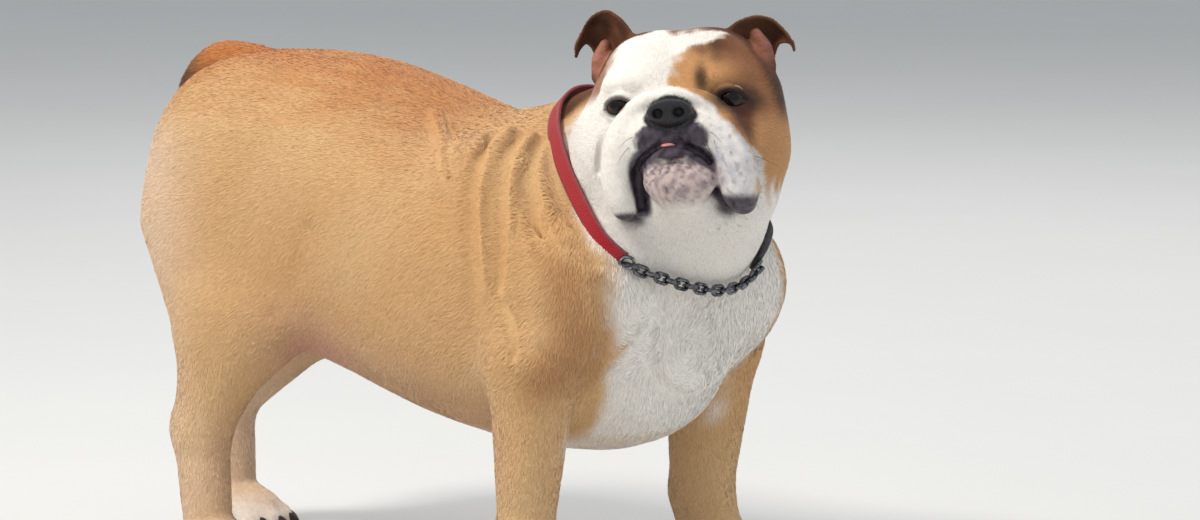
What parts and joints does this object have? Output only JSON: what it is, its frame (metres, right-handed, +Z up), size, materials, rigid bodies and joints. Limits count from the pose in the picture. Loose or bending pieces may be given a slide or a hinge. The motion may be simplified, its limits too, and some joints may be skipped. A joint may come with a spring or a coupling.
{
  "type": "english bulldog model",
  "caption": "Life-size still model of an english bulldog standing with its head turned to its right, in a red and black collar with a short chain.",
  "frame": {"origin": "middle of the model's box in plan, at the level of the paw pads", "axes": "+X towards the head, +Y to the dog's left, +Z up"},
  "size_m": [0.6077, 0.3219, 0.4427],
  "materials": {
    "coat": "short flat fur, fawn and white",
    "nose_leather": "moist black nose",
    "eye": "wet dark brown eye",
    "strap_red": "woven webbing",
    "strap_black": "woven webbing",
    "steel": "polished dark chain"
  },
  "bodies": {
    "root": {"neck": "coat", "paw_fore_right": "coat", "foreleg_right": "coat", "paw_hind_right": "coat", "hind_leg_right": "coat", "paw_fore_left": "coat", "foreleg_left": "coat", "paw_hind_left": "coat", "hind_leg_left": "coat", "tail": "coat", "chest": "coat", "rump": "coat", "eye_right": "eye", "ear_right": "coat", "eye_left": "eye", "ear_left": "coat", "nose": "nose_leather", "jaw": "coat", "head": "coat", "collar_strap_red": "strap_red", "collar_strap_black": "strap_black", "collar_chain": "steel"}
  },
  "joints": []
}
